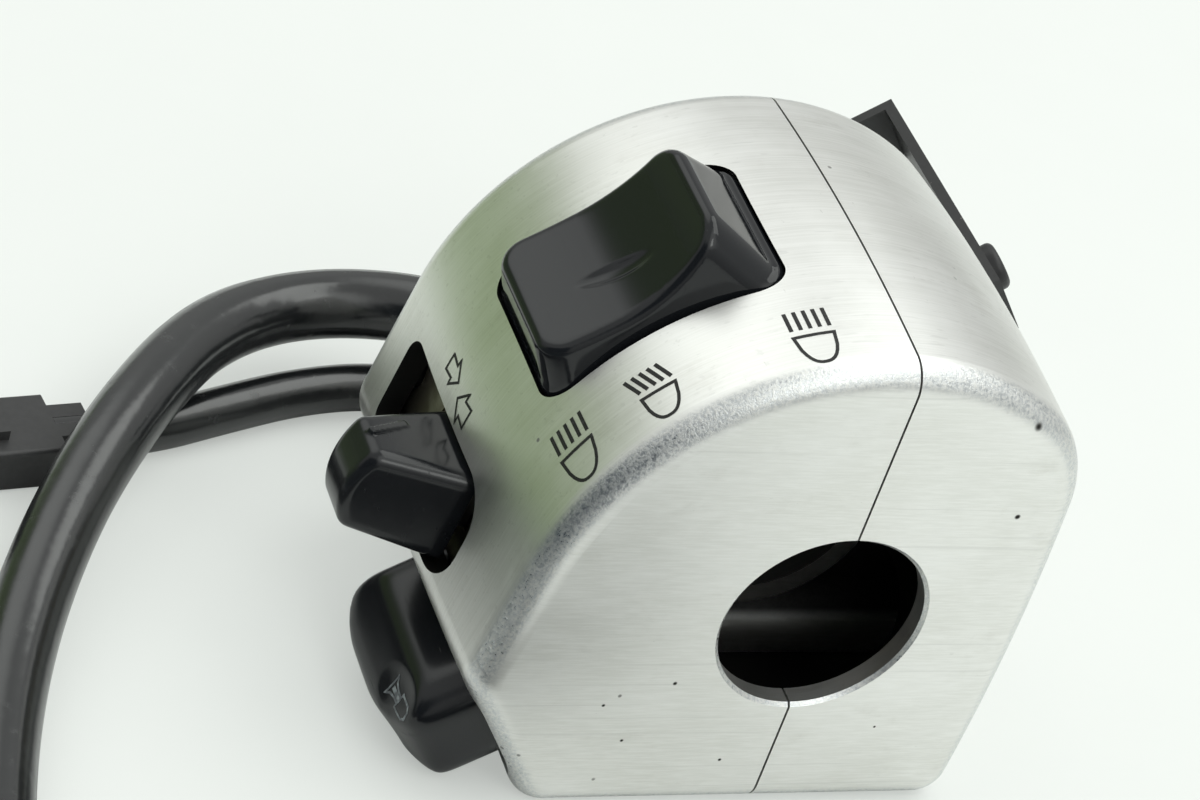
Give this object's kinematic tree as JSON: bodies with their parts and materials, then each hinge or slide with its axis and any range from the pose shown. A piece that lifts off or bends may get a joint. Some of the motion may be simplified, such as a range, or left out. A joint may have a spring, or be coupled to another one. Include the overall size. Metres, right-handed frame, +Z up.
{
  "type": "motorcycle handlebar switch cluster",
  "caption": "Left-hand clamp-on handlebar switch cluster with beam rocker, sliding turn switch, horn button and sleeved harness.",
  "frame": {"origin": "on the handlebar's axis at the middle of the casing's width", "axes": "+X inboard along the bar, +Y forward and away from the rider, +Z up with the flat bottom of the casing level"},
  "size_m": [0.1912, 0.1178, 0.0628],
  "materials": {
    "casing_aluminium": "brushed cast aluminium, lightly pitted",
    "fastener_steel": "zinc-plated steel",
    "pin_steel": "ground steel",
    "spring_steel": "spring wire",
    "plate_steel": "pressed plated steel",
    "knob_black": "glossy black moulding",
    "base_plastic": "tan phenolic moulding",
    "carrier_plastic": "black acetal",
    "contact_brass": "bare brass",
    "grommet_rubber": "soft black rubber",
    "sleeve_vinyl": "black vinyl sleeving",
    "connector_plastic": "black moulding",
    "wire_insulation": "insulated wires",
    "strip_black": "black-coated steel strip",
    "strip_screw_black": "black-coated screw"
  },
  "bodies": {
    "housing": {"rider_housing": "casing_aluminium", "front_housing": "casing_aluminium", "clamp_screws": "fastener_steel", "rocker_pin": "pin_steel", "beam_switch_base": "base_plastic", "beam_fixed_contacts": "contact_brass", "beam_base_screws": "fastener_steel", "turn_guide_plate": "plate_steel", "turn_switch_base": "base_plastic", "turn_fixed_contacts": "contact_brass", "turn_base_screws": "fastener_steel", "horn_switch_base": "base_plastic", "horn_fixed_contact": "contact_brass", "horn_spring": "spring_steel", "horn_base_screws": "fastener_steel", "harness_grommet": "grommet_rubber", "harness_sleeve": "sleeve_vinyl", "switch_lead": "sleeve_vinyl", "harness_connector": "connector_plastic", "lead_connector": "connector_plastic", "beam_wires": "wire_insulation", "turn_wires": "wire_insulation", "horn_wires": "wire_insulation", "loom_clip": "plate_steel", "loom_clip_screw": "fastener_steel", "cable_clip_strip": "strip_black", "cable_clip_screw": "strip_screw_black"},
    "rocker": {"beam_rocker": "knob_black"},
    "contact_carrier": {"beam_contact_carrier": "carrier_plastic", "beam_moving_contact": "contact_brass", "beam_detent_ball": "pin_steel", "beam_detent_spring": "spring_steel"},
    "turn_lever": {"turn_knob": "knob_black", "turn_slider": "carrier_plastic", "turn_moving_contact": "contact_brass", "turn_detent_ball": "pin_steel", "turn_detent_spring": "spring_steel"},
    "horn_plunger": {"horn_button": "knob_black", "horn_moving_contact": "contact_brass"}
  },
  "joints": [
    {"name": "beam_rock", "type": "hinge", "parent": "housing", "child": "rocker", "pos_m": [0, -0.01725, 0.02091], "axis": [1, 0, 0], "range_deg": [-10, 6]},
    {"name": "carrier_slide", "type": "slide", "parent": "housing", "child": "contact_carrier", "axis": [0, 0.788, 0.6157], "range_m": [-0.0016, 0.001]},
    {"name": "turn_slide", "type": "slide", "parent": "housing", "child": "turn_lever", "axis": [1, 0, 0], "range_m": [-0.0074, 0]},
    {"name": "horn_press", "type": "slide", "parent": "housing", "child": "horn_plunger", "axis": [0, 0.8373, 0.5467], "range_m": [0, 0.002], "stiffness_N_per_m": 400, "springref_m": -0.001, "deforming": ["horn_spring"]}
  ],
  "couplings": [
    {"joint": "carrier_slide", "follows": "beam_rock", "m_per_rad": 0.008}
  ]
}
